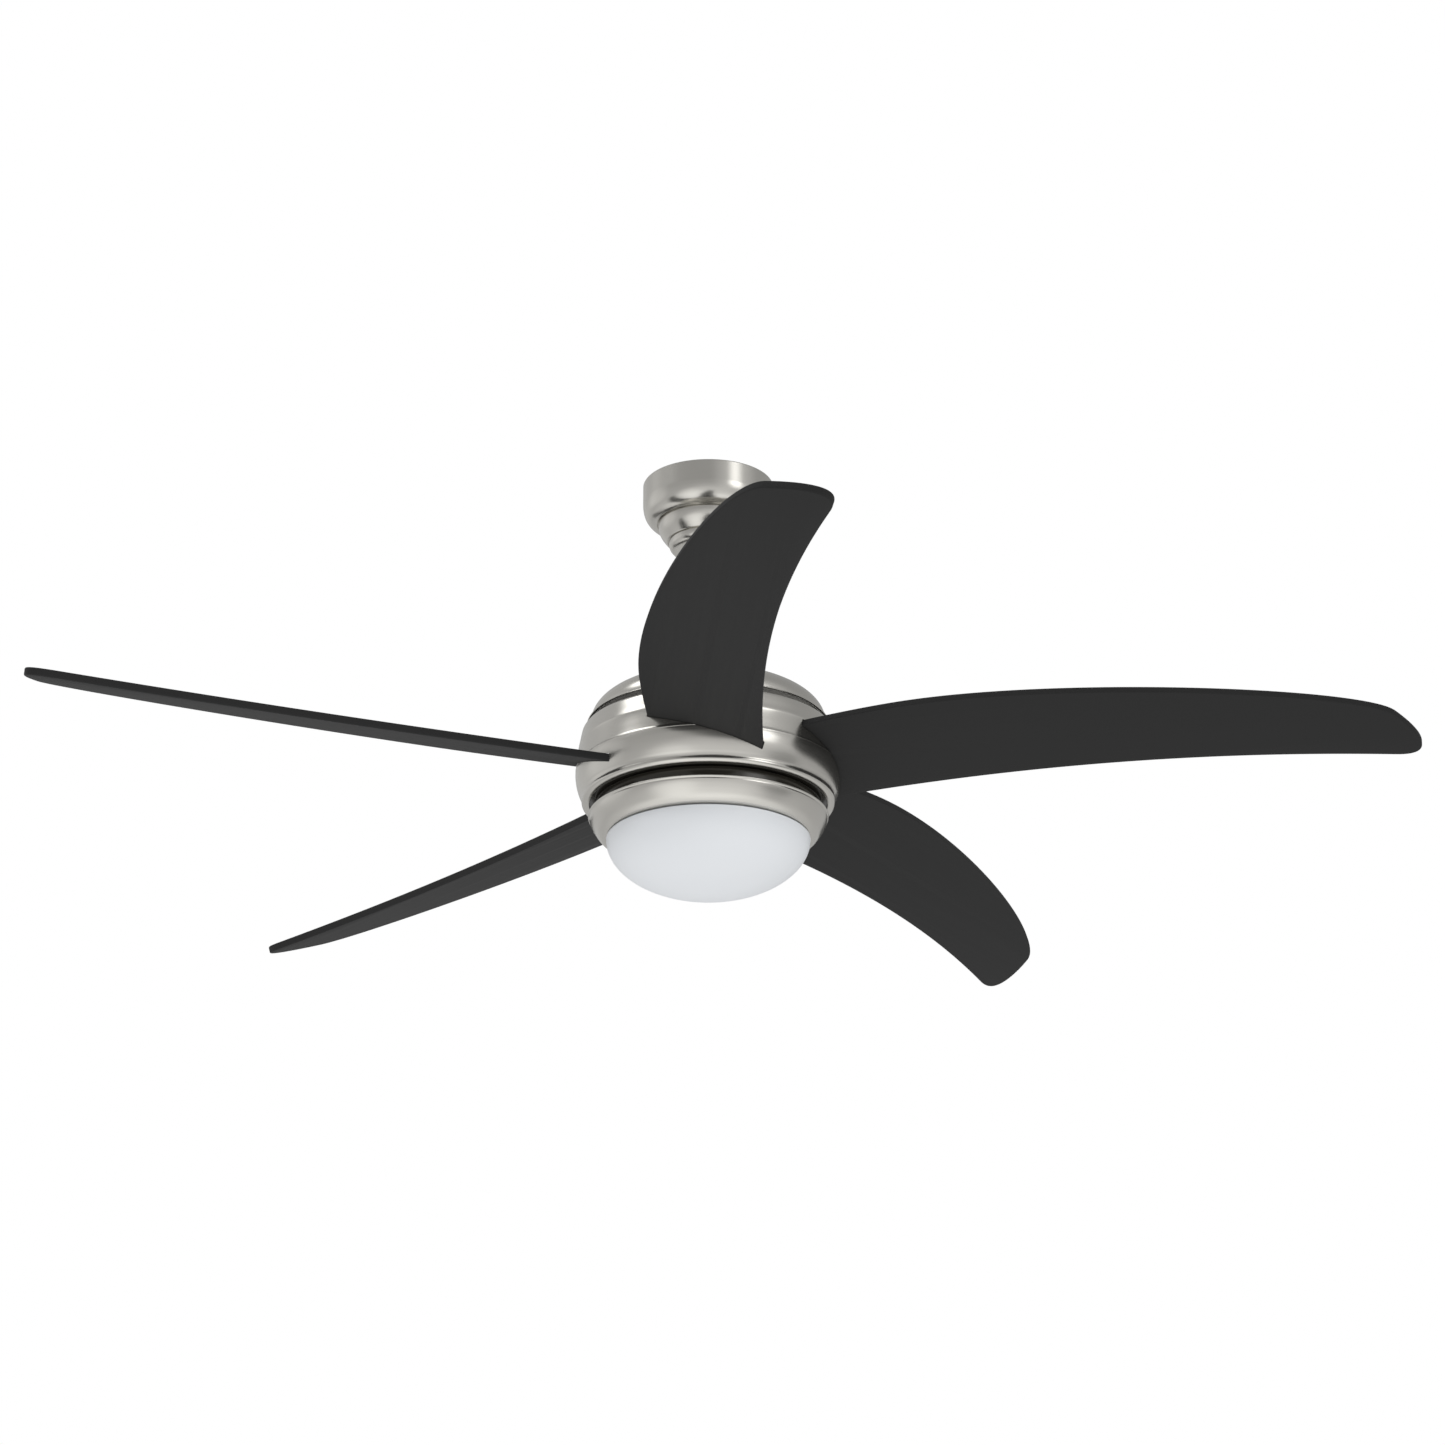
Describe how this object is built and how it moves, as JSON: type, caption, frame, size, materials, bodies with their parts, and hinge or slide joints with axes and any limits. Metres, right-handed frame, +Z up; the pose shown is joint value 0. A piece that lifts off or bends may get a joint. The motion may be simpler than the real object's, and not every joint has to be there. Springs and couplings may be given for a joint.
{
  "type": "ceiling fan with light",
  "caption": "Ceiling fan with swept pitched blades, a short downrod, a turned metal housing and an opal bowl light.",
  "frame": {"origin": "middle of the hanger bracket's flat top, where it is screwed to the ceiling", "axes": "+Z up into the ceiling along the fan's axis; -Y towards the viewer of the reference view; +X to the viewer's right"},
  "size_m": [1.2504, 1.2399, 0.417],
  "materials": {
    "nickel": "satin brushed nickel plate",
    "blade": "matt black foil over pressed board",
    "opal": "opal bowl, satin outside",
    "dark_paint": "dark satin paint",
    "steel": "zinc plated steel",
    "cast_aluminium": "bare casting",
    "iron": "varnished laminations",
    "copper": "enamelled copper wire",
    "rubber": "soft black rubber",
    "ball_plastic": "moulded nylon",
    "white_plastic": "moulded plastic",
    "black_plastic": "moulded plastic",
    "ceramic": "unglazed ceramic",
    "reflector": "white reflector paint",
    "lamp_glass": "clear quartz tube"
  },
  "bodies": {
    "ceiling_mount": {"hanger_bracket": "steel", "canopy": "nickel", "canopy_cover": "nickel", "canopy_screw_1": "steel", "canopy_screw_2": "steel", "terminal_block": "white_plastic", "receiver_box": "white_plastic"},
    "ball_seat": {"seat_liner": "rubber"},
    "hanging_frame": {"hanger_ball": "ball_plastic", "ball_pin": "steel", "downrod": "nickel", "yoke": "steel", "coupling_pin": "steel", "coupling_clip": "steel", "top_cap": "nickel", "top_cap_screw_1": "steel", "top_cap_screw_2": "steel", "motor_shaft": "steel", "stator_core": "iron", "winding_upper": "copper", "winding_lower": "copper", "bearing_inner_upper": "steel", "bearing_inner_lower": "steel", "switch_housing": "dark_paint", "shaft_nut": "steel", "capacitor": "white_plastic", "switch_body": "black_plastic", "light_pan": "nickel", "light_plate": "steel", "reflector": "reflector", "lamp": "lamp_glass", "lamp_holder_1": "ceramic", "lamp_holder_2": "ceramic"},
    "rotor": {"bearing_outer_upper": "steel", "bearing_outer_lower": "steel", "bell_upper": "cast_aluminium", "bell_lower": "cast_aluminium", "rotor_ring": "iron", "hub_plate": "dark_paint", "housing_upper": "nickel", "housing_lower": "nickel", "blade_1": "blade", "blade_2": "blade", "blade_3": "blade", "blade_4": "blade", "blade_5": "blade", "blade_holder_1": "cast_aluminium", "blade_holder_2": "cast_aluminium", "blade_holder_3": "cast_aluminium", "blade_holder_4": "cast_aluminium", "blade_holder_5": "cast_aluminium", "blade_clamp_1": "steel", "blade_clamp_2": "steel", "blade_clamp_3": "steel", "blade_clamp_4": "steel", "blade_clamp_5": "steel"},
    "cover_cup": {"coupling_cover": "nickel"},
    "switch_slider": {"switch_knob": "black_plastic"},
    "bowl": {"glass_bowl": "opal"}
  },
  "joints": [
    {"name": "ball_tilt_x", "type": "hinge", "parent": "ceiling_mount", "child": "ball_seat", "pos_m": [0, 0, -0.033], "axis": [1, 0, 0], "range_deg": [-12, 12]},
    {"name": "ball_tilt_y", "type": "hinge", "parent": "ball_seat", "child": "hanging_frame", "pos_m": [0, 0, -0.033], "axis": [0, 1, 0], "range_deg": [-12, 12]},
    {"name": "rotor_spin", "type": "hinge", "parent": "hanging_frame", "child": "rotor", "pos_m": [0, 0, -0.301], "axis": [0, 0, 1], "continuous": true},
    {"name": "coupling_cover_lift", "type": "slide", "parent": "hanging_frame", "child": "cover_cup", "axis": [0, 0, 1], "range_m": [0, 0.085]},
    {"name": "reverse_switch_slide", "type": "slide", "parent": "hanging_frame", "child": "switch_slider", "axis": [1, 0, 0], "range_m": [0, 0.004]},
    {"name": "bowl_twist", "type": "hinge", "parent": "hanging_frame", "child": "bowl", "pos_m": [0, 0, -0.365], "axis": [0, 0, 1], "range_deg": [0, 30]}
  ]
}
